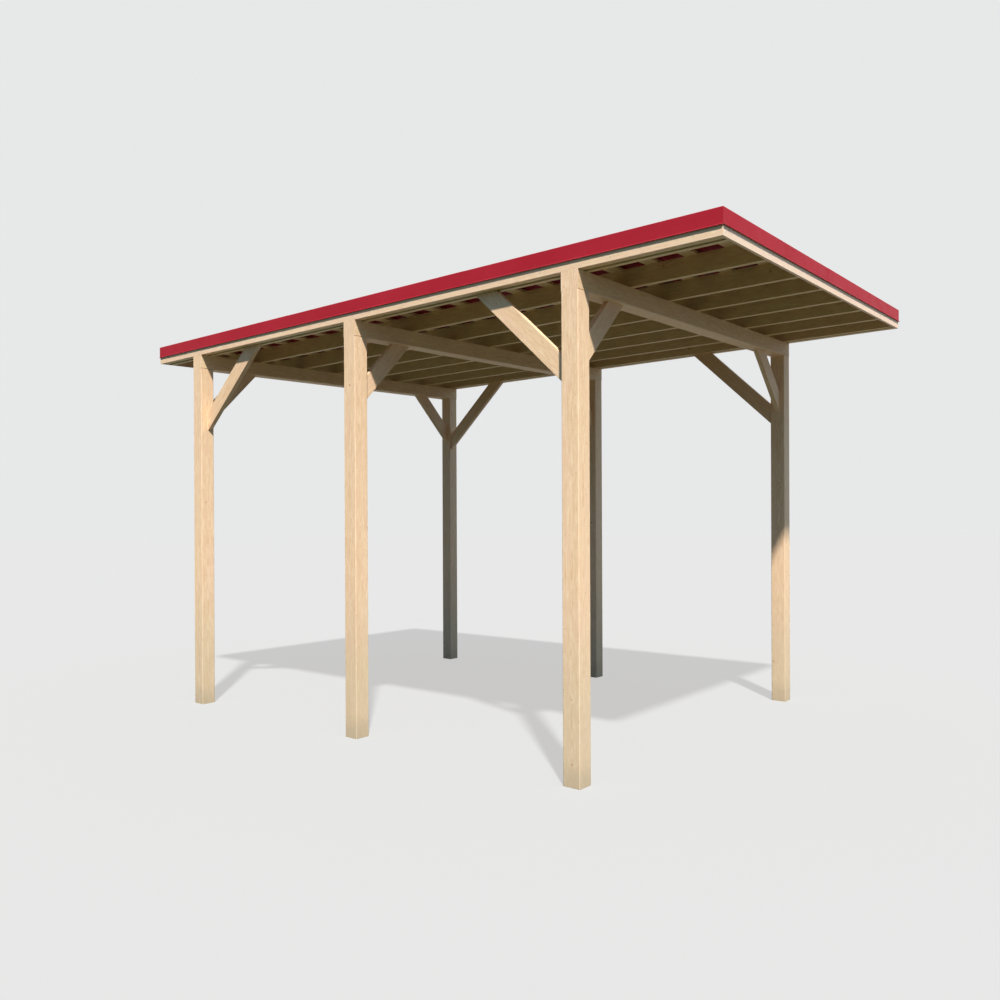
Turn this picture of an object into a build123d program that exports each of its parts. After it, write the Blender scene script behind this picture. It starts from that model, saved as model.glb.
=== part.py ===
from build123d import *
import math
import os

# An open timber carport on six posts, in mm.
# Ground level is z = 0 and the origin is the middle of the plan.
# The entrance end faces -Y and the low side of the roof faces -X.

# Overall size over the edge boards
length = 6350
width = 3830
eave = 3510          # underside of the edge boards along the low side
rise = 110           # how much higher the far side is

# Frame
post = 140
post_chamfer = 5
front_overhang = 1040
rear_overhang = 630
middle_forward = 30        # of the middle posts, ahead of half-way
beam_h = 135
brace_w = 45
brace_d = 140
cross_brace_leg = 548      # along the post and along the beam alike
long_brace_drop = 785      # below the joists, at the post face
long_brace_reach = 850     # along from the post, under the joist
long_brace_out = 27.5      # outside face of the brace beyond that of its joist
long_brace_housing = 10    # cut past the joist, then trimmed to its underside

# How much longer each brace was cut, from the front to the rear
cross_leg_extra = {"left": [-25, 0, 0], "right": [6, 8, 22]}
long_drop_extra = {"left": [-6, -29], "right": [29, 26]}
long_reach_extra = {"left": [-14, 2], "right": [19, 36]}

# Roof
joist_w = 45
joist_h = 140
joist_edge = 125           # middle of each outer joist, in from the side
joist_gaps = [592, 580, 489, 498, 481, 485, 455]   # these share out the rest
board_t = 22
batten_w = 100
batten_t = 20
batten_first = 255         # middle of the first loose batten, from the front
batten_pitch = 305
sheet_t = 2
rib_h = 8
rib_pitch = 115
rib_foot = 65
rib_top = 45

# Sheet metal edge trims
trim_t = 5
trim_bottom = 64           # above the underside of the boards
trim_flange = 80
lip_out = 8                # drip lip along the foot of the trim
lip_t = 4

# The boards cover the joists and battens, and the trims lie on the ribs of the sheet
board_h = joist_h + batten_t
trim_top = board_h + sheet_t + rib_h + trim_t

# Cutting outlines reach this far past what they cut
past = 50
cutter_h = board_h + trim_top + rise + past

x0, x1 = -width / 2, width / 2
y0, y1 = -length / 2, length / 2
fall = rise / width
pitch = (length - front_overhang - rear_overhang - post) / 2
rows = [y0 + front_overhang + i * pitch for i in range(3)]
rows[1] -= middle_forward
row_names = ["front", "middle", "rear"]
joist_run = (width - 2 * joist_edge) / sum(joist_gaps)
joist_lines = [x0 + joist_edge + joist_run * sum(joist_gaps[:i]) for i in range(len(joist_gaps) + 1)]
os.makedirs("parts", exist_ok=True)


def roof(x, above=0):
    # height of the sloping underside of the roof at x
    return eave + fall * (x - x0) + above


def slab(xa, xb, low, high):
    # outline in the XZ plane that follows the fall, upright at both ends
    return [(xa, roof(xa, low)), (xb, roof(xb, low)), (xb, roof(xb, high)), (xa, roof(xa, high))]


def save(part, name):
    part.label = name
    export_step(part, f"parts/{name}.step")


# Posts, three on each side
for side, xa in (("left", x0), ("right", x1 - post)):
    for row, ya in zip(row_names, rows):
        name = f"post_{side}_{row}"
        with BuildPart() as piece:
            with BuildSketch(Plane.XY.offset(0)):
                with Locations((xa + post / 2, ya + post / 2)):
                    Rectangle(post, post)
            extrude(amount=eave)
            chamfer(piece.edges().filter_by(Axis.Z), post_chamfer)
            with BuildSketch(Plane.XZ.offset(-(ya + post + past))):
                Polygon(*slab(xa - past, xa + post + past, -beam_h, cutter_h), align=None)
            extrude(amount=post + 2 * past, mode=Mode.SUBTRACT)
        save(piece.part, name)

# Cross beams on the post tops
for row, ya in zip(row_names, rows):
    with BuildPart() as piece:
        with BuildSketch(Plane.XZ.offset(-(ya + post))):
            Polygon(*slab(x0, x1, -beam_h, 0), align=None)
        extrude(amount=post)
    save(piece.part, f"cross_beam_{row}")


def knee(at, way, foot, top, reach, lift):
    # outline of a brace from an upright face at `at` to an underside that starts at `top`
    slope = (top - foot) / reach + way * lift
    leg = brace_d * math.hypot(1, slope)
    inner = (top - foot - leg) / (slope - way * lift)
    return [
        (at, foot),
        (at + way * reach, foot + slope * reach),
        (at + way * inner, foot + leg + slope * inner),
        (at, foot + leg),
    ]


# Knee braces from the posts to the cross beams
for side, xp, way in (("left", x0 + post, 1), ("right", x1 - post, -1)):
    for row, ya, extra in zip(row_names, rows, cross_leg_extra[side]):
        top = roof(xp, -beam_h)
        leg = cross_brace_leg + extra
        with BuildPart() as piece:
            with BuildSketch(Plane.XZ.offset(-(ya + (post + brace_w) / 2))):
                Polygon(*knee(xp, way, top - leg, top, leg, fall), align=None)
            extrude(amount=brace_w)
        save(piece.part, f"cross_brace_{side}_{row}")

# Knee braces from the corner posts to the outer joists, each a little outside its joist
low_edge = joist_lines[0] - joist_w / 2 - long_brace_out
high_edge = joist_lines[-1] + joist_w / 2 + long_brace_out
for side, xa in (("left", low_edge), ("right", high_edge - brace_w)):
    ends = (("front", rows[0] + post, 1), ("rear", rows[2], -1))
    for (row, yp, way), more_drop, more_reach in zip(ends, long_drop_extra[side], long_reach_extra[side]):
        top = roof(xa + brace_w / 2)
        drop = long_brace_drop + more_drop
        reach = long_brace_reach + more_reach
        grow = 1 + long_brace_housing / drop
        with BuildPart() as piece:
            with BuildSketch(Plane.YZ.offset(xa)):
                outline = knee(yp, way, top - drop, top - drop + drop * grow, reach * grow, 0)
                Polygon(*outline, align=None)
            extrude(amount=brace_w)
            with BuildSketch(Plane.XZ.offset(-y1)):
                Polygon(*slab(xa - past, xa + brace_w + past, 0, cutter_h), align=None)
            extrude(amount=length, mode=Mode.SUBTRACT)
        save(piece.part, f"long_brace_{side}_{row}")

# Joists along the roof, numbered from the low side
for i, line in enumerate(joist_lines, start=1):
    xa = line - joist_w / 2
    with BuildPart() as piece:
        with BuildSketch(Plane.XZ.offset(-(y1 - board_t))):
            Polygon(*slab(xa, xa + joist_w, 0, joist_h), align=None)
        extrude(amount=length - 2 * board_t)
    save(piece.part, f"joist_{i}")

# Edge joists behind the side boards
for side, xa in (("left", x0 + board_t), ("right", x1 - board_t - joist_w)):
    with BuildPart() as piece:
        with BuildSketch(Plane.XZ.offset(-(y1 - board_t))):
            Polygon(*slab(xa, xa + joist_w, 0, joist_h), align=None)
        extrude(amount=length - 2 * board_t)
    save(piece.part, f"edge_joist_{side}")


def mitred(side, out, deep, low, high):
    # one side of a frame round the roof, mitred in plan
    a, b, c, d = x0 - out, x1 + out, y0 - out, y1 + out
    plan = {
        "left": [(a, c), (a + deep, c + deep), (a + deep, d - deep), (a, d)],
        "right": [(b, c), (b, d), (b - deep, d - deep), (b - deep, c + deep)],
        "front": [(a, c), (b, c), (b - deep, c + deep), (a + deep, c + deep)],
        "rear": [(a, d), (a + deep, d - deep), (b - deep, d - deep), (b, d)],
    }[side]
    with BuildPart() as piece:
        with BuildSketch(Plane.XY.offset(eave - past)):
            Polygon(*plan, align=None)
        extrude(amount=cutter_h + past)
        with BuildSketch(Plane.XZ.offset(-(d + past))):
            Polygon(*slab(a - past, b + past, low, high), align=None)
        extrude(amount=d - c + 2 * past, mode=Mode.INTERSECT)
    return piece.part


for side in ("left", "right", "front", "rear"):
    # Timber edge board
    save(mitred(side, 0, board_t, 0, board_h), f"edge_board_{side}")
    # Metal trim, an upright face with a flange over the sheet and a drip lip
    face = mitred(side, trim_t, trim_t, trim_bottom, trim_top)
    flange = mitred(side, trim_t, trim_flange, trim_top - trim_t, trim_top)
    lip = mitred(side, trim_t + lip_out, trim_t + lip_out, trim_bottom, trim_bottom + lip_t)
    save((face + flange + lip).clean(), f"edge_trim_{side}")

# Roof battens across the joists, one tight behind each end board and the rest evenly spaced
last = y1 - board_t - batten_w / 2
battens = [-last]
while y0 + batten_first + (len(battens) - 1) * batten_pitch < last - batten_w:
    battens.append(y0 + batten_first + (len(battens) - 1) * batten_pitch)
battens.append(last)
with BuildPart() as piece:
    for yc in battens:
        with BuildSketch(Plane.XZ.offset(-(yc + batten_w / 2))):
            Polygon(*slab(x0 + board_t, x1 - board_t, joist_h, joist_h + batten_t), align=None)
        extrude(amount=batten_w)
save(piece.part, "roof_battens")

# Low-ribbed roof sheet on the battens, the ribs running down the fall
base = joist_h + batten_t
ribs = int((length - 2 * trim_flange) // rib_pitch)
lower = [(y0, 0)]
for i in range(ribs):
    mid = (i - (ribs - 1) / 2) * rib_pitch
    lower += [(mid - rib_foot / 2, 0), (mid - rib_top / 2, rib_h)]
    lower += [(mid + rib_top / 2, rib_h), (mid + rib_foot / 2, 0)]
lower += [(y1, 0)]
upper = [(y, z + sheet_t) for y, z in reversed(lower)]
with BuildPart() as piece:
    with BuildSketch(Plane.YZ.offset(x0)):
        Polygon(*[(y, eave + base + z) for y, z in lower + upper], align=None)
    extrude(amount=math.hypot(width, rise), dir=(1, 0, fall))
save(piece.part, "roof_sheet")
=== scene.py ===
import math
import random

import bmesh
import bpy
from mathutils import Matrix, Vector, noise


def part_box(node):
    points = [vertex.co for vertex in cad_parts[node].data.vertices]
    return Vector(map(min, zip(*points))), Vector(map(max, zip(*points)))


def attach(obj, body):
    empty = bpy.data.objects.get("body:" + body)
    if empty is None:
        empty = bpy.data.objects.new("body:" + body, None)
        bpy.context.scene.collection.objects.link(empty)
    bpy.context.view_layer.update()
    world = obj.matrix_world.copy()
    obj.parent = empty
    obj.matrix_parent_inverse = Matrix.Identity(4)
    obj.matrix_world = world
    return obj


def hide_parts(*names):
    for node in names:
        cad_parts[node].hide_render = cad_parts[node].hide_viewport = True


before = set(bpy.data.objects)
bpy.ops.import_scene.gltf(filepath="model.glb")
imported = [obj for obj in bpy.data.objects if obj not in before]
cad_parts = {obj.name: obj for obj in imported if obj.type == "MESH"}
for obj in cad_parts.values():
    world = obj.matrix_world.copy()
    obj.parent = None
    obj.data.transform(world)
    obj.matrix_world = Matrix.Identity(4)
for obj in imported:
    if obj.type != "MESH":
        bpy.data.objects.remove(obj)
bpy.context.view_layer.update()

rng = random.Random(7)

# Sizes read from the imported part
board_lo, board_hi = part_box("edge_board_left")
far_lo, far_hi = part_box("edge_board_right")
X0, X1 = board_lo.x, far_hi.x
Y0, Y1 = board_lo.y, board_hi.y
WIDTH, LENGTH = X1 - X0, Y1 - Y0
EAVE = board_lo.z
FALL = (far_lo.z - board_lo.z) / (far_lo.x - board_lo.x)

# Sizes of the roof edge and sheet, in metres, with heights above the underside of the boards
PAN = 0.1616            # upper face of the sheet between its ribs
RIB_PITCH = 0.115
RIB_LINE = ((0.0325, 0.0), (0.0295, 0.0010), (0.0245, 0.0068), (0.0205, 0.0070))    # half a rib: out, up
RIB_MARGIN = 0.080      # from the boards to the first rib
SHEET = 0.0008          # thickness of the ribbed steel
SHEET_LAP = 0.0010      # how far a lapped rib is lifted
SHEET_IN = 0.001        # how far the sheets end short of the boards' outer faces
RIBS_PER_SHEET = 10
TRIM_LOW, TRIM_TOP = 0.064, 0.174
FACE = 0.0047           # the trim's face, out from the board
LIP = 0.0069
FLANGE = 0.074
THIN = 0.0009           # thickness of the folded steel
TRIM_LAP = 0.060
RIPPLE = 0.0005         # unevenness of the folded steel
CALM = 0.3              # its ripples die away this near a corner
DENT = 0.0004           # unevenness of the ribbed steel

# Timber edges
END_ARRIS = 0.0005
BEAM_CHAMFER = 0.005

# Kinds of timber, told to the spruce material
POST, BEAM, ROOF_TIMBER, BRACE = 1.0, 0.5, 0.2, 0.0
# the end boards are made paler than the side boards: painted light
END_BOARD, SIDE_BOARD = -0.2, -0.05

# Growth of the spruce
RING = 0.0046           # from one growth ring to the next
WANDER = 0.060          # how far the pith strays
KNOTS_ALONG, KNOTS_ROUND = 2.2, 0.9     # places for a knot, per metre and per radian
KNOTLESS = 0.93         # the share of them that stay empty

# Screws
ROOF_SCREWS, ROOF_SCREW_MARGIN = 8, 0.150
FLANGE_SCREW_PITCH, FLANGE_SCREW_IN = 0.60, 0.045
BOARD_SCREWS, BOARD_SCREW_UP = 11, 0.030
BRACE_SCREW_IN, BRACE_SCREW_APART = 0.060, 0.020

DOWN = Vector((1.05, 1.065, -1.945))    # the way the sunlight travels


def roof(x, up=0.0):
    """height of the sloping underside of the roof at x, plus up"""
    return EAVE + FALL * (x - X0) + up


class Tree:
    """short ways to wire the nodes of a material or world"""

    def __init__(self, owner, output="OutputMaterial"):
        self.owner = owner
        owner.use_nodes = True
        self.t = owner.node_tree
        self.t.nodes.clear()
        self.out = self.t.nodes.new("ShaderNode" + output)

    def put(self, socket, value):
        if isinstance(value, bpy.types.NodeSocket):
            self.t.links.new(value, socket)
        else:
            socket.default_value = value

    def add(self, kind, ins=None, **props):
        n = self.t.nodes.new("ShaderNode" + kind)
        for k, v in props.items():
            setattr(n, k, v)
        for k, v in (ins or {}).items():
            self.put(n.inputs[k], v)
        return n

    def math(self, op, a, b=0.0, c=0.0):
        return self.add("Math", {0: a, 1: b, 2: c}, operation=op).outputs[0]

    def mul(self, a, b):
        return self.math("MULTIPLY", a, b)

    def mul_add(self, a, b, c):
        return self.math("MULTIPLY_ADD", a, b, c)

    def plus(self, a, b):
        return self.math("ADD", a, b)

    def less(self, a, b):
        return self.math("SUBTRACT", a, b)

    def over(self, a, b):
        return self.math("DIVIDE", a, b)

    def size(self, a):
        return self.math("ABSOLUTE", a)

    def above(self, a, b):
        return self.math("GREATER_THAN", a, b)

    def below(self, a, b):
        return self.math("LESS_THAN", a, b)

    def shift(self, a, b):
        return self.add("VectorMath", {0: a, 1: b}, operation="ADD").outputs["Vector"]

    def combine(self, x, y, z):
        return self.add("CombineXYZ", {"X": x, "Y": y, "Z": z}).outputs[0]

    def split(self, v):
        n = self.add("SeparateXYZ", {0: v})
        return n.outputs[0], n.outputs[1], n.outputs[2]

    def place(self):
        return self.add("TexCoord").outputs["Object"]

    def attribute(self, name, output):
        return self.add("Attribute", attribute_name=name).outputs[output]

    def noise(self, vector, scale, detail=2.0, rough=0.5):
        ins = {"Vector": vector, "Scale": scale, "Detail": detail, "Roughness": rough}
        return self.add("TexNoise", ins).outputs["Fac"]

    def remap(self, v, lo, hi, a=0.0, b=1.0, kind="LINEAR"):
        ins = {"Value": v, "From Min": lo, "From Max": hi, "To Min": a, "To Max": b}
        return self.add("MapRange", ins, interpolation_type=kind, clamp=True).outputs["Result"]

    def smooth(self, v, lo, hi, a=0.0, b=1.0):
        return self.remap(v, lo, hi, a, b, "SMOOTHSTEP")

    def mix(self, fac, a, b, blend="MIX"):
        n = self.add("Mix", data_type="RGBA", blend_type=blend, clamp_factor=True)
        for i, v in ((0, fac), (6, a), (7, b)):
            self.put(n.inputs[i], v)
        return n.outputs[2]

    def layers(self, col, *tints):
        """lay tints over a colour, each a share and a colour"""
        for share, tint in tints:
            col = self.mix(share, col, tint)
        return col

    def bump(self, height, strength, distance):
        ins = {"Height": height, "Strength": strength, "Distance": distance}
        return self.add("Bump", ins).outputs[0]

    def finish(self, **ins):
        bsdf = self.add("BsdfPrincipled", {k.replace("_", " "): v for k, v in ins.items()})
        self.put(self.out.inputs[0], bsdf.outputs[0])
        return self.owner


def srgb(r, g, b):
    lin = [c / 255 / 12.92 if c <= 10 else ((c / 255 + 0.055) / 1.055) ** 2.4 for c in (r, g, b)]
    return (*lin, 1.0)


def new_material(name):
    return Tree(bpy.data.materials.new(name))


# Planed spruce
def make_spruce():
    """grain: metres along the stem and across it from the pith; tone: seed, shade and kind;
    cut: 1 on sawn ends, -1 on chamfers"""
    m = new_material("spruce")
    grain = m.attribute("grain", "Vector")
    along, u, v = m.split(grain)
    seed, shade, kind = m.split(m.attribute("tone", "Vector"))
    cut = m.attribute("cut", "Fac")
    end, chamfer_shade = m.above(cut, 0.5), m.below(cut, -0.5)
    post, big = m.above(kind, 0.8), m.above(kind, 0.4)
    roof_timber_mask = m.mul(m.above(kind, 0.1), m.below(kind, 0.4))

    def fibre(scale_along, scale_across, push=(0.0, 0.0, 0.0), detail=2.0, rough=0.5):
        """noise drawn out along the grain"""
        spot = m.combine(m.mul(along, scale_along), m.mul(u, scale_across), m.mul_add(v, scale_across, seed))
        return m.noise(m.shift(spot, push), 1.0, detail, rough)

    # the pith wanders slowly along the stem
    uw = m.mul_add(m.less(fibre(0.9, 2.2), 0.5), WANDER, u)
    vw = m.mul_add(m.less(fibre(0.9, 2.2, (9.1, 3.7, 5.3)), 0.5), WANDER, v)
    rad = m.math("SQRT", m.plus(m.mul(uw, uw), m.mul(vw, vw)))
    ang = m.math("ARCTAN2", vw, uw)

    # a branch runs out from the pith, so a knot is a spot in angle and length
    spot = m.combine(m.mul(along, KNOTS_ALONG), m.mul_add(ang, KNOTS_ROUND, seed), 0.0)
    cell = m.add("TexVoronoi", {"Vector": spot, "Scale": 1.0, "Randomness": 0.95}, voronoi_dimensions="2D")
    cell_along, cell_round, _ = m.split(cell.outputs["Position"])
    pick = m.split(cell.outputs["Color"])[0]
    off_along = m.less(along, m.over(cell_along, KNOTS_ALONG))
    off_round = m.mul(m.less(ang, m.over(m.less(cell_round, seed), KNOTS_ROUND)), rad)
    wobble = m.mul(m.less(m.noise(grain, 70.0), 0.5), 0.004)
    square = m.plus(m.mul(off_along, off_along), m.mul(off_round, off_round))
    dist = m.plus(m.math("SQRT", square), wobble)
    radius = m.remap(pick, KNOTLESS, 1.0, 0.0018, 0.0062)
    has = m.above(pick, KNOTLESS)
    outside = m.less(dist, radius)
    knot = m.mul(m.smooth(outside, -0.0016, 0.0016, 1.0, 0.0), has)
    rim = m.mul(m.smooth(m.size(outside), 0.0, 0.0022, 1.0, 0.0), has)
    halo = m.mul(m.smooth(outside, 0.0, 0.018, 1.0, 0.0), m.mul(has, 0.40))
    near = m.mul(m.math("POWER", 2.718, m.over(m.mul(dist, dist), -0.0011)), has)
    flow = m.mul(near, m.mul(m.size(off_round), -0.45))

    # growth rings, thin dark late wood on pale early wood
    spread = m.noise(m.combine(m.mul(rad, 14.0), seed, m.mul(along, 0.15)), 1.0)
    ring = m.math("FRACT", m.over(m.plus(m.plus(rad, flow), m.mul(spread, 0.016)), RING))
    late = m.mul(m.smooth(ring, 0.30, 0.86), m.smooth(ring, 0.90, 1.0, 1.0, 0.0))
    strength = m.remap(fibre(0.5, 9.0, (2.0, 6.0, 1.0)), 0.35, 0.65, 0.22, 0.60)

    # finer unevenness of the planed face
    streak = fibre(1.3, 85.0, detail=4.0, rough=0.6)
    band = fibre(0.8, 20.0)
    patch = fibre(1.5, 7.0, (4.0, 8.0, 1.0), 3.0, 0.55)
    hair = fibre(9.0, 420.0)
    fleck = m.smooth(fibre(34.0, 120.0), 0.64, 0.74)
    mottle = fibre(11.0, 62.0, (3.0, 2.0, 8.0), 3.0, 0.6)
    blush = fibre(2.6, 16.0, (1.0, 9.0, 4.0))

    # drying checks, thin broken lines along the grain of the larger timbers
    wave = m.size(m.less(fibre(0.30, 10.0, (7.0, 1.0, 3.0), 1.0), 0.5))
    check = m.mul(m.smooth(wave, 0.0, 0.0045, 1.0, 0.0), m.smooth(fibre(0.9, 3.0), 0.60, 0.66))
    check = m.mul(check, big)

    early = m.mix(m.remap(patch, 0.35, 0.65), srgb(242, 211, 173), srgb(242, 207, 174))
    heart_ring = m.remap(m.math("SINE", m.mul(dist, 2600.0)), -1.0, 1.0, 0.0, 0.5)
    heart = m.mix(heart_ring, srgb(170, 112, 66), srgb(124, 76, 44))
    sawn = m.mix(m.mul(late, 0.35), srgb(230, 193, 154), srgb(208, 168, 126))
    col = m.layers(
        early,
        (m.mul(late, strength), srgb(210, 165, 120)),
        (m.remap(streak, 0.35, 0.7, 0.0, 0.34), srgb(225, 187, 145)),
        (m.remap(band, 0.4, 0.66, 0.0, 0.24), srgb(232, 194, 150)),
        (m.remap(hair, 0.5, 0.8, 0.0, 0.22), srgb(196, 156, 116)),
        (m.remap(mottle, 0.48, 0.72, 0.0, 0.42), srgb(214, 170, 130)),
        (m.remap(mottle, 0.46, 0.30, 0.0, 0.45), srgb(250, 226, 190)),
        (m.remap(blush, 0.52, 0.70, 0.0, 0.35), srgb(236, 194, 166)),
        (m.mul(fleck, 0.42), srgb(164, 120, 86)),
        (halo, srgb(208, 158, 106)),
        (m.mul(knot, 0.85), heart),
        (m.mul(rim, 0.50), srgb(98, 62, 40)),
        (m.mul(check, 0.62), srgb(120, 86, 58)),
        (m.mul(end, 0.45), sawn),
        # painted shade: the chamfers, which face more into the sun, are dulled
        (m.mul(chamfer_shade, 0.50), srgb(214, 184, 155)))

    # each timber its own shade, the edge boards paler, and the end boards paler than the side boards, which
    # is painted light
    col = m.mix(1.0, col, m.mix(shade, srgb(251, 249, 245), srgb(243, 238, 230)), "MULTIPLY")
    col = m.mix(m.math("MAXIMUM", m.mul(kind, -2.0), 0.0), col, srgb(238, 214, 198))
    # the beams and the timber of the roof get a greenish tint, partly a rawer tone and partly painted olive
    # shade
    raw_and_olive_shade = m.mul_add(big, 0.14, m.mul(roof_timber_mask, 0.45))
    raw_and_olive_shade = m.mul(m.mul(raw_and_olive_shade, m.less(1.0, post)), m.less(1.0, end))
    col = m.mix(raw_and_olive_shade, col, m.mix(1.0, col, srgb(226, 244, 208), "MULTIPLY"))
    # the posts are splashed at the foot, and greyed from the foot up to about 1.5 m, partly weathering and
    # partly painted shade
    z = m.split(m.place())[2]
    splash = m.mul_add(m.noise(grain, 9.0, 4.0, 0.65), -0.22, z)
    wet = m.mul(m.smooth(splash, -0.12, 0.14, 1.0, 0.0), post)
    foot_grey_and_shade = m.mul(m.smooth(z, 0.2, 1.5, 1.0, 0.0), post)
    col = m.layers(col, (m.mul(wet, 0.55), srgb(150, 130, 104)), (m.mul(foot_grey_and_shade, 0.45), srgb(182, 168, 138)))

    high = m.mul(hair, 0.35)
    for part, share in ((late, 0.30), (rim, -0.8), (fleck, -0.5), (check, -2.2)):
        high = m.plus(high, m.mul(part, share))
    rough = m.plus(m.remap(streak, 0.3, 0.7, 0.56, 0.70), m.mul(knot, -0.12))
    return m.finish(Base_Color=col, Roughness=rough, Normal=m.bump(high, 0.35, 0.0009))


# Red coated sheet steel, duller on its underside
def make_red():
    m = new_material("red_coating")
    spot = m.place()
    x, y, z = m.split(spot)
    facing = m.split(m.add("NewGeometry").outputs["True Normal"])[2]
    top = m.smooth(facing, 0.7, 0.95)
    under = m.smooth(facing, -0.9, -0.6, 1.0, 0.0)
    # dust lies on the drip lips and the sloping sides of the ribs, with painted shade that dulls these
    # slopes where they face the sun
    ledge_dust_and_shade = m.mul(m.smooth(facing, 0.42, 0.62), m.smooth(facing, 0.72, 0.85, 1.0, 0.0))
    run = m.noise(m.combine(m.mul(x, 26.0), m.mul(y, 26.0), m.mul(z, 2.2)), 1.0, 3.0, 0.6)
    dust = m.noise(spot, 34.0, 4.0, 0.7)
    silt = m.noise(m.combine(m.mul(x, 1.2), m.mul(y, 9.0), z), 1.0, 4.0, 0.6)
    # the underside is darker towards the middle of the roof: painted shade
    inner_underside_shade = m.smooth(m.size(x), 0.9, 1.25, 1.0, 0.0)
    coat = m.mix(m.remap(m.noise(spot, 1.7, 3.0, 0.55), 0.35, 0.68), srgb(164, 35, 47), srgb(170, 39, 51))
    base = m.layers(
        coat,
        (m.remap(run, 0.5, 0.8, 0.0, 0.20), srgb(158, 33, 42)),
        (m.remap(dust, 0.56, 0.8, 0.0, 0.16), srgb(190, 88, 88)),
        (m.mul(top, 0.80), srgb(136, 24, 33)),
        (m.mul(top, m.remap(silt, 0.42, 0.75, 0.0, 0.18)), srgb(120, 72, 66)),
        (m.mul(ledge_dust_and_shade, 0.80), srgb(118, 60, 64)),
        (under, m.mix(inner_underside_shade, srgb(136, 24, 22), srgb(92, 12, 14))))
    ripple = m.noise(m.combine(m.mul(x, 2.4), m.mul(y, 2.4), m.mul(z, 9.0)), 1.0, 1.0)
    high = m.plus(ripple, m.mul(m.noise(spot, 420.0), 0.012))
    rough = m.plus(m.remap(m.noise(spot, 9.0, 3.0), 0.3, 0.7, 0.34, 0.44), m.mul(under, 0.25))
    return m.finish(Base_Color=base, Roughness=rough, Normal=m.bump(high, 0.20, 0.005),
                    Specular_IOR_Level=0.04)


def make_speckled(name, scale, dark, pale, rough, metallic):
    """a plain material with fine speckles; rough is its least and greatest roughness"""
    m = new_material(name)
    n = m.noise(m.place(), scale, 3.0, 0.6)
    return m.finish(Base_Color=m.mix(n, srgb(*dark), srgb(*pale)), Metallic=metallic,
                    Roughness=m.remap(n, 0.3, 0.7, *rough))


SPRUCE = make_spruce()
RED = make_red()
STEEL = make_speckled("zinc_plated_steel", 160.0, (150, 148, 142), (198, 192, 178), (0.32, 0.52), 0.9)
RUBBER = make_speckled("sealing_washer", 220.0, (34, 34, 34), (62, 60, 58), (0.70, 0.85), 0.0)


# Shared ways to build a piece
def new_object(name, verts, faces, mat):
    mesh = bpy.data.meshes.new(name)
    mesh.from_pydata(verts, [], faces)
    mesh.materials.append(mat)
    obj = bpy.data.objects.new(name, mesh)
    bpy.context.scene.collection.objects.link(obj)
    return obj


def settle(obj, slot, *nodes):
    """outward faces, the body and the nodes that the piece stands for; slot is not used"""
    bm = bmesh.new()
    bm.from_mesh(obj.data)
    bmesh.ops.recalc_face_normals(bm, faces=bm.faces)
    bm.to_mesh(obj.data)
    bm.free()
    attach(obj, "root")
    if nodes:
        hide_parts(*nodes)
    return obj


def skin(rows, verts, faces):
    """add the closed solid that runs through rows of equally many points"""
    start, n = len(verts), len(rows[0])
    for row in rows:
        verts += row
    for first in range(start, start + (len(rows) - 1) * n, n):
        for j in range(n):
            a, b = first + j, first + (j + 1) % n
            faces.append((a, b, b + n, a + n))
    faces.append(tuple(range(start, start + n))[::-1])
    faces.append(tuple(range(len(verts) - n, len(verts))))


# Timber pieces
class Stem:
    """where one timber lay in its tree: axis runs along it, pith is how far its heart is from the middle"""

    def __init__(self, mid, axis, broad, pith):
        turn = rng.uniform(-1.0, 1.0)
        self.mid, self.axis, self.cross, self.broad = mid, axis, axis.cross(broad), broad
        self.heart_broad, self.heart_cross = pith * math.cos(turn), pith * math.sin(turn)
        self.seed, self.slide, self.shade = rng.uniform(0, 60), rng.uniform(0, 40), rng.random() ** 1.5

    def at(self, p):
        d = p - self.mid
        return (d.dot(self.axis) + self.slide, d.dot(self.cross) - self.heart_cross,
                d.dot(self.broad) + self.heart_broad)


POST_STEMS = []


def islands(bm):
    """the separate solids of a mesh, in a fixed order"""
    left, out = set(bm.verts), []
    while left:
        stack = [left.pop()]
        group = {stack[0]}
        while stack:
            for e in stack.pop().link_edges:
                for w in e.verts:
                    if w in left:
                        left.discard(w)
                        group.add(w)
                        stack.append(w)
        out.append(group)
    out.sort(key=lambda g: tuple(round(c, 4) for c in sum((w.co for w in g), Vector()) / len(g)))
    return out


def solid(group):
    """one island of a mesh as a mesh of its own"""
    bm = bmesh.new()
    twin = {w: bm.verts.new(w.co) for w in sorted(group, key=lambda w: w.index)}
    for f in sorted({f for w in group for f in w.link_faces}, key=lambda f: f.index):
        bm.faces.new([twin[w] for w in f.verts])
    bmesh.ops.recalc_face_normals(bm, faces=bm.faces)
    bm.normal_update()
    return bm


def directions(bm):
    """the way a timber runs, and the way its broadest side faces"""
    edge = max(bm.edges, key=lambda e: e.calc_length())
    axis = (edge.verts[1].co - edge.verts[0].co).normalized()
    if axis.dot(Vector((1, 1, 1))) < 0:
        axis.negate()
    sides = [f for f in bm.faces if abs(f.normal.dot(axis)) < 0.3]
    broad = max(sides, key=lambda f: round(f.calc_area(), 5)).normal.copy()
    broad = (broad - axis * broad.dot(axis)).normalized()
    if broad.dot(Vector((1, 1.1, 1.2))) < 0:
        broad.negate()
    return axis, broad


def bevel(bm, edges, offset, segments=1, profile=0.5):
    bmesh.ops.bevel(bm, geom=edges, offset=offset, offset_type="OFFSET", segments=segments,
                    profile=profile, affect="EDGES", clamp_overlap=True)
    bm.normal_update()


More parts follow.
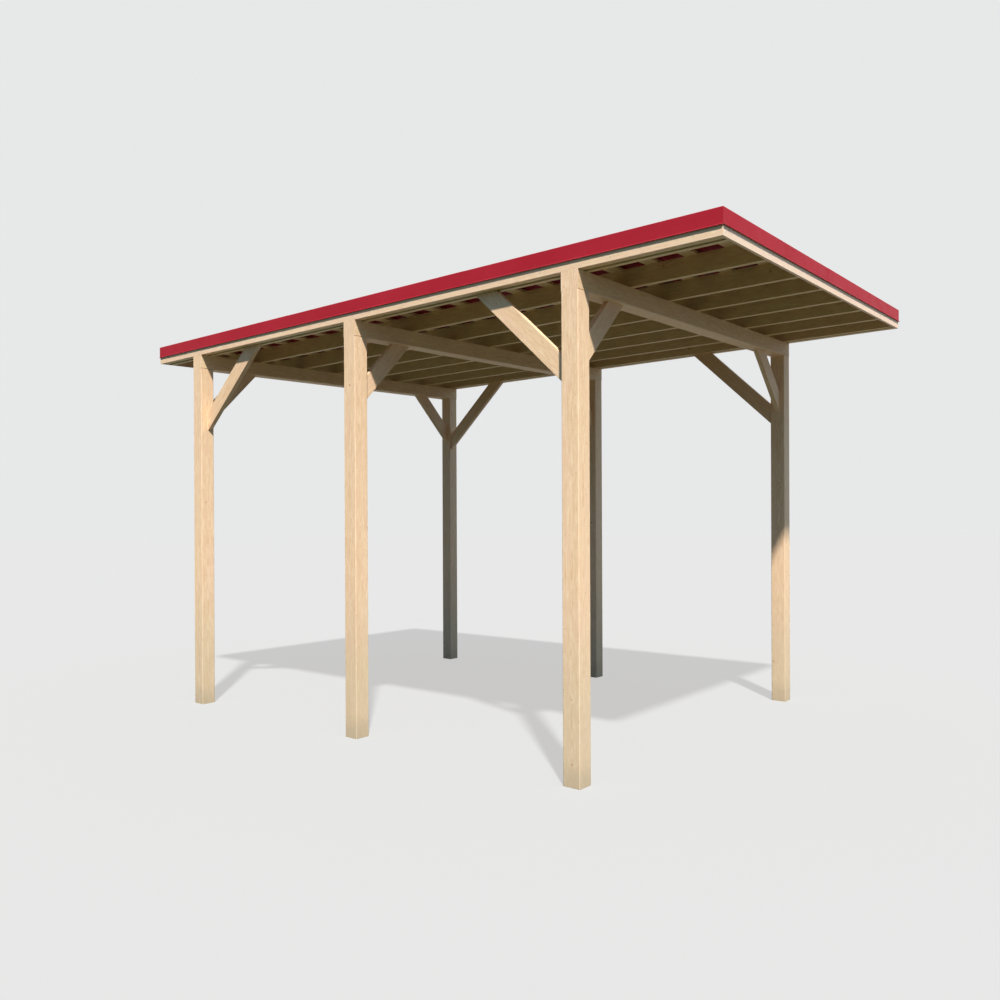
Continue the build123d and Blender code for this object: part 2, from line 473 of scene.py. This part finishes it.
def ease(bm, axis, mid, arris, kind):
    """arrises on the long edges and the ends, and chamfers along the foot of a beam"""
    sharp = [e for e in bm.edges if len(e.link_faces) == 2 and e.calc_face_angle(0) > 0.3]
    along = [e for e in sharp if abs((e.verts[1].co - e.verts[0].co).normalized().dot(axis)) > 0.95]
    low = [e for e in along if kind == BEAM and (e.verts[0].co.z + e.verts[1].co.z) / 2 < mid.z]
    along = [e for e in along if e not in low]
    if low:
        bevel(bm, low, BEAM_CHAMFER)
    bevel(bm, along, arris, 2, 0.55)
    rims = [e for e in bm.edges if len(e.link_faces) == 2
            and sum(abs(f.normal.dot(axis)) > 0.5 for f in e.link_faces) == 1]
    bevel(bm, rims, END_ARRIS)


def timber(node, pith, arris, kind):
    """A planed copy of a CAD timber: eased edges, and for each solid the coordinates of its own grain.
    The ends of a beam take the grain of the post below, which runs on up to the roof."""
    src = bmesh.new()
    src.from_mesh(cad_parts[node].data)
    bmesh.ops.remove_doubles(src, verts=src.verts, dist=2e-5)
    bmesh.ops.dissolve_limit(src, angle_limit=math.radians(0.4), verts=src.verts, edges=src.edges)
    verts, faces, grain, tone, cuts = [], [], [], [], []
    for group in islands(src):
        bm = solid(group)
        axis, broad = directions(bm)
        mid = sum((w.co for w in bm.verts), Vector()) / len(bm.verts)
        ease(bm, axis, mid, arris, kind)
        own = Stem(mid, axis, broad, pith)
        if kind == POST:
            POST_STEMS.append(own)
        start = len(verts)
        verts += [tuple(w.co) for w in bm.verts]
        bm.verts.index_update()
        for f in bm.faces:
            stem, sort, cut = own, kind, 0.0
            if abs(f.normal.dot(axis)) > 0.6:
                cut = 1.0
                if kind == BEAM:
                    middle = f.calc_center_median()
                    stem = min(POST_STEMS, key=lambda s: (s.mid - middle).xy.length)
                    sort, cut = POST, 0.0
            elif kind >= BEAM and max(abs(f.normal.dot(broad)), abs(f.normal.dot(own.cross))) < 0.8:
                cut = -1.0
            faces.append([start + w.index for w in f.verts])
            grain += [stem.at(w.co) for w in f.verts]
            tone += [(stem.seed, stem.shade, sort)] * len(f.verts)
            cuts.append(cut)
        bm.free()
    src.free()
    obj = new_object("wood_" + node, verts, faces, SPRUCE)
    for name, values in (("grain", grain), ("tone", tone)):
        layer = obj.data.attributes.new(name, "FLOAT_VECTOR", "CORNER")
        layer.data.foreach_set("vector", [c for p in values for c in p])
    layer = obj.data.attributes.new("cut", "FLOAT", "FACE")
    layer.data.foreach_set("value", cuts)
    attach(obj, "root")
    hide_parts(node)
    return obj


# start of the name, pith offset, arris and kind of each sort of timber, posts first
SORTS = (
    ("post", 0.018, 0.0006, POST),
    ("cross_beam", 0.022, 0.0022, BEAM),
    ("cross_brace", 0.075, 0.0020, BRACE),
    ("long_brace", 0.075, 0.0020, BRACE),
    ("joist", 0.080, 0.0020, ROOF_TIMBER),
    ("edge_joist", 0.080, 0.0020, ROOF_TIMBER),
    ("edge_board_front", 0.065, 0.0012, END_BOARD),
    ("edge_board_left", 0.065, 0.0012, SIDE_BOARD),
    ("edge_board_rear", 0.065, 0.0012, END_BOARD),
    ("edge_board_right", 0.065, 0.0012, SIDE_BOARD),
    ("roof_battens", 0.060, 0.0012, ROOF_TIMBER),
)
for name_start, pith, arris, kind in SORTS:
    for n in sorted(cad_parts):
        if n.startswith(name_start):
            timber(n, pith, arris, kind)


# Folded red trims
def span_of(side):
    return LENGTH if side in ("left", "right") else WIDTH


def edge_point(side, s, out, stop=None):
    """plan position at share s along one side of the roof, out from the board, mitred at the corners
    unless stop says how far past the board's corner the piece may go"""
    past = out if stop is None else min(out, stop)
    if side in ("left", "right"):
        x = X0 - out if side == "left" else X1 + out
        return x, (Y0 - past) * (1 - s) + (Y1 + past) * s
    y = Y0 - out if side == "front" else Y1 + out
    return (X0 - past) * (1 - s) + (X1 + past) * s, y


def thicken(points, t):
    """closed outline of a folded sheet from its outer line, t thick, inwards"""
    inner = []
    for i, (px, py) in enumerate(points):
        dirs = []
        for j in (i - 1, i):
            if 0 <= j < len(points) - 1:
                dx, dy = points[j + 1][0] - points[j][0], points[j + 1][1] - points[j][1]
                k = math.hypot(dx, dy)
                dirs.append((dy / k, -dx / k))
        nx, ny = sum(d[0] for d in dirs), sum(d[1] for d in dirs)
        k = math.hypot(nx, ny)
        nx, ny = nx / k, ny / k
        c = max(0.35, nx * dirs[0][0] + ny * dirs[0][1])
        inner.append((px + nx * t / c, py + ny * t / c))
    return points + inner[::-1]


# section of a trim from the tip of its lip to the inner edge of its flange: out, up
FOLD = [
    (FACE + LIP - 0.0005, TRIM_LOW + 0.0028),
    (FACE + LIP, TRIM_LOW + 0.0006),
    (FACE + LIP - 0.0008, TRIM_LOW),
    (FACE + 0.0018, TRIM_LOW + 0.0048),
    (FACE + 0.0004, TRIM_LOW + 0.0068),
    (FACE, TRIM_LOW + 0.0092),
    (FACE, TRIM_LOW + 0.045),
    (FACE, TRIM_TOP - 0.0034),
    (FACE - 0.0010, TRIM_TOP - 0.0010),
    (FACE - 0.0034, TRIM_TOP),
    (FACE - 0.030, TRIM_TOP - 0.0014),
    (-FLANGE + 0.006, TRIM_TOP - 0.0022),
    (-FLANGE + 0.001, TRIM_TOP - 0.0026),
    (-FLANGE, TRIM_TOP - 0.0034),
]
FOLD_OUTLINE = [(-o, u) for o, u in thicken([(-o, u) for o, u in FOLD], THIN)]
LIP_FROM = FACE + 0.0025        # parts further out are the lip, which stops short of the corners
LIP_STOP = FACE - 0.003
TRIM_STEPS = 26


def trim(side):
    """lapped lengths of trim; each length but the first starts on top of the one before"""
    span = span_of(side)
    count = 3 if span > 5 else 2
    verts, faces = [], []
    for k in range(count):
        s0 = k / count - (TRIM_LAP / span if k else 0)
        s1 = (k + 1) / count
        rows = []
        for i in range(TRIM_STEPS + 1):
            q = i / TRIM_STEPS
            s = s0 + (s1 - s0) * q
            over = THIN * (1 - q) if k else 0.0
            calm = min(1.0, min(s, 1 - s) * span / CALM)
            row = []
            for out, up in FOLD_OUTLINE:
                wave = RIPPLE * noise.noise(Vector((s * span * 2.3, up * 9.0, 3.1 * len(side)))) * calm
                o = out
                if out > 0:
                    o += wave + (over if out < FACE + 0.001 else 0.0)
                x, y = edge_point(side, s, o, LIP_STOP if out > LIP_FROM else None)
                lift = over if out <= LIP_STOP and up > 0.15 else 0.0
                row.append((x, y, roof(x, up + lift)))
            rows.append(row)
        skin(rows, verts, faces)
    settle(new_object("trim_" + side, verts, faces, RED), "red_metal", "edge_trim_" + side)


for side in ("left", "right", "front", "rear"):
    trim(side)

# Thin ribbed roof sheets, lapped at every tenth rib
RIBS = int((LENGTH - 2 * RIB_MARGIN) // RIB_PITCH)
SHEET_STEPS = 14


def sheets():
    verts, faces = [], []
    for first in range(0, RIBS - 1, RIBS_PER_SHEET):
        last = min(first + RIBS_PER_SHEET, RIBS - 1)
        line = [] if first else [(Y0, 0.0)]
        for i in range(first, last + 1):
            lift = SHEET_LAP if i == last < RIBS - 1 else 0.0
            mid = (i - (RIBS - 1) / 2) * RIB_PITCH
            line += [(mid - out, up + lift if up else 0.0) for out, up in RIB_LINE]
            line += [(mid + out, up + lift) for out, up in reversed(RIB_LINE)]
        if last == RIBS - 1:
            line.append((Y1, 0.0))
        outline = line + [(y, up - SHEET) for y, up in reversed(line)]
        rows = []
        for i in range(SHEET_STEPS + 1):
            x = X0 + SHEET_IN + (WIDTH - 2 * SHEET_IN) * i / SHEET_STEPS
            row = []
            for y, up in outline:
                dent = DENT * noise.noise(Vector((x * 1.7, y * 2.9, 4.0)))
                row.append((x, y, roof(x, PAN + up + dent)))
            rows.append(row)
        skin(rows, verts, faces)
    settle(new_object("roof_sheets", verts, faces, RED), "red_metal", "roof_sheet")


sheets()


# Screws
class Heap:
    """many small turned forms in one piece"""

    def __init__(self, name, mat, slot):
        self.name, self.mat, self.slot, self.verts, self.faces = name, mat, slot, [], []

    def turn(self, place, normal, profile, sides, spin=0.0):
        """add a form on a surface: profile is radius and height pairs from the edge to the middle"""
        q = normal.normalized().to_track_quat("Z", "Y")
        angles = [2 * math.pi * i / sides + spin for i in range(sides)]
        rows = [[tuple(place + q @ Vector((r * math.cos(t), r * math.sin(t), h))) for t in angles]
                for r, h in profile]
        skin(rows, self.verts, self.faces)

    def close(self):
        settle(new_object(self.name, self.verts, self.faces, self.mat), self.slot)


WASHER = [(0.0072, -0.0004), (0.0074, 0.0004), (0.0070, 0.0009), (0.0055, 0.0012)]
HEX = [(0.0046, 0.0004), (0.0046, 0.0045), (0.0041, 0.0050)]
PLATE = [(0.0078, -0.0004), (0.0080, 0.0006), (0.0066, 0.0022), (0.0034, 0.0027), (0.0030, 0.0014)]
SUNK = [(0.0041, -0.0010), (0.0042, 0.0002), (0.0036, 0.0005), (0.0020, 0.0004), (0.0017, -0.0009)]
ROUND = 12              # sides of a round head
HEX_UP = 0.0008         # how far a hexagon head stands up on its seal

red_heads = Heap("red_screws", RED, "red_metal")
seals = Heap("screw_seals", RUBBER, "red_metal")
wood_heads = Heap("timber_screws", STEEL, "timber")
up_roof = Vector((-FALL, 0, 1)).normalized()

# through the pans of the sheet into every batten but the outer two
batten_y = sorted({round(v.co.y, 3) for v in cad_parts["roof_battens"].data.vertices})
rows_y = [(a + b) / 2 for a, b in zip(batten_y[::2], batten_y[1::2])]
for yb in rows_y[1:-1]:
    pan = round(yb / RIB_PITCH - 0.5) + 0.5 if RIBS % 2 else round(yb / RIB_PITCH)
    for k in range(ROOF_SCREWS):
        x = X0 + ROOF_SCREW_MARGIN + (WIDTH - 2 * ROOF_SCREW_MARGIN) * k / (ROOF_SCREWS - 1)
        place = Vector((x, pan * RIB_PITCH, roof(x, PAN)))
        seals.turn(place, up_roof, WASHER, ROUND)
        red_heads.turn(place + up_roof * HEX_UP, up_roof, HEX, 6, rng.random())


def on_edge(side, s, out, up):
    """a place on the roof's edge at share s along one side"""
    x, y = edge_point(side, s, out)
    return Vector((x, y, roof(x, up)))


# through the flanges of the trims, and through the boards into what stands behind them
OUTWARD = {"left": (-1, 0, 0), "right": (1, 0, 0), "front": (0, -1, 0), "rear": (0, 1, 0)}
for side, outward in OUTWARD.items():
    count = round(span_of(side) / FLANGE_SCREW_PITCH)
    for k in range(count):
        place = on_edge(side, (k + 0.5) / count, -FLANGE_SCREW_IN, TRIM_TOP - 0.0018)
        red_heads.turn(place, up_roof, PLATE, ROUND)
    if side in ("front", "rear"):
        boxes = [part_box(n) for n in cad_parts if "joist" in n]
        spots = sorted(((lo.x + hi.x) / 2 - X0) / WIDTH for lo, hi in boxes)
    else:
        spots = [(k + 0.35) / BOARD_SCREWS for k in range(BOARD_SCREWS)]
    for s in spots:
        s += rng.uniform(-0.0012, 0.0012)
        place = on_edge(side, s, 0.0, BOARD_SCREW_UP + rng.uniform(-0.003, 0.003))
        wood_heads.turn(place, Vector(outward), SUNK, ROUND)

# two screws through each end of a brace, square to its outer edge
for n in sorted(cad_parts):
    if "_brace_" not in n:
        continue
    pts = [v.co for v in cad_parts[n].data.vertices]
    lo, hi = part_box(n)
    wide = 0 if n.startswith("long") else 1          # the axis across the brace
    flat = 1 - wide
    foot = min(pts, key=lambda p: p.z)
    tip = max(pts, key=lambda p: (round(p.z, 3), abs(p[flat] - foot[flat])))
    run = tip - foot
    run[wide] = 0.0
    length, run = run.length, run.normalized()
    square = Vector((0, 0, -1)) - run * Vector((0, 0, -1)).dot(run)
    for t in (BRACE_SCREW_IN, length - BRACE_SCREW_IN):
        for w in (-BRACE_SCREW_APART / 2, BRACE_SCREW_APART / 2):
            place = foot + run * (t + w * 1.3)
            place[wide] = (lo[wide] + hi[wide]) / 2 + w
            wood_heads.turn(place, square, PLATE, ROUND, rng.random())

for heap in (red_heads, seals, wood_heads):
    heap.close()


# Floor and backdrop
def seen(m):
    """1 for rays that look, 0 for rays that light"""
    path = m.add("LightPath")
    look = m.math("MAXIMUM", path.outputs["Is Camera Ray"], path.outputs["Is Glossy Ray"])
    return m.math("MAXIMUM", look, path.outputs["Is Transmission Ray"])


PALE = (0.80, 0.81, 0.81, 1.0)          # the backdrop
FLOOR = (0.125, 0.126, 0.125, 1)        # the floor, which its glow brings up to the backdrop
FLOOR_GLOW = (0.562, 0.549, 0.529, 1)
FLOOR_RADIUS, FLOOR_SIDES = 140.0, 96

m = new_material("studio_floor")
look = seen(m)
across = m.split(m.add("NewGeometry").outputs["Position"])[0]
bounce = m.mix(m.smooth(across, -4.5, -1.0), (0.032, 0.052, 0.026, 1), (0.100, 0.096, 0.072, 1))
diffuse = m.add("BsdfDiffuse", {"Color": m.mix(look, bounce, FLOOR)})
glow = m.add("Emission", {"Color": FLOOR_GLOW, "Strength": look})
both = m.add("AddShader", {0: diffuse.outputs[0], 1: glow.outputs[0]})
m.put(m.out.inputs[0], both.outputs[0])
turns = [2 * math.pi * i / FLOOR_SIDES for i in range(FLOOR_SIDES)]
ring = [(FLOOR_RADIUS * math.cos(t), FLOOR_RADIUS * math.sin(t), 0.0) for t in turns]
new_object("studio_ground", ring, [tuple(range(FLOOR_SIDES))], m.owner)

# Sky
world = bpy.data.worlds.new("studio")
bpy.context.scene.world = world
w = Tree(world, "OutputWorld")
wx, wy, wz = w.split(w.add("TexCoord").outputs["Generated"])
front = w.smooth(w.mul_add(wy, -0.85, w.mul(wz, 0.5)), 0.15, 1.0)
behind = w.smooth(w.mul(w.plus(wx, wy), 0.7), 0.1, 1.0)
sky = w.mix(front, (0.09, 0.20, 0.37, 1), (0.37, 0.56, 0.80, 1))
sky = w.mix(behind, sky, (0.50, 0.52, 0.56, 1))
dome = w.add("Background", {"Color": sky, "Strength": 1.0})
back = w.add("Background", {"Color": PALE, "Strength": 1.0})
pick = w.add("MixShader", {0: seen(w), 1: dome.outputs[0], 2: back.outputs[0]})
w.put(w.out.inputs[0], pick.outputs[0])

# Sun
key = bpy.data.lights.new("key", "SUN")
key.energy = 6.6
key.angle = math.radians(2.5)
key.color = (1.0, 1.0, 0.985)
key_obj = bpy.data.objects.new("key", key)
bpy.context.scene.collection.objects.link(key_obj)
key_obj.rotation_euler = DOWN.to_track_quat("-Z", "Y").to_euler()

# Camera: its place, its heading, tilt and roll in degrees, and its lens in millimetres
EYE = Vector((-6.7613, -5.3887, 1.7828))
HEADING, TILT, ROLL = 50.908, -0.083, -0.243
cam_data = bpy.data.cameras.new("camera")
cam_data.sensor_width = 36.0
cam_data.lens = 31.108
cam_data.shift_y = 0.0268
cam_data.clip_end = 500.0
cam = bpy.data.objects.new("camera", cam_data)
bpy.context.scene.collection.objects.link(cam)
h, t, r = (math.radians(d) for d in (HEADING, TILT, ROLL))
ahead = Vector((math.sin(h) * math.cos(t), math.cos(h) * math.cos(t), math.sin(t)))
right = Vector((math.cos(h), -math.sin(h), 0.0))
up = right.cross(ahead)
right, up = right * math.cos(r) + up * math.sin(r), up * math.cos(r) - right * math.sin(r)
cam.matrix_world = Matrix.Translation(EYE) @ Matrix((right, up, -ahead)).transposed().to_4x4()
bpy.context.scene.camera = cam

bpy.context.scene.view_settings.view_transform = "Standard"
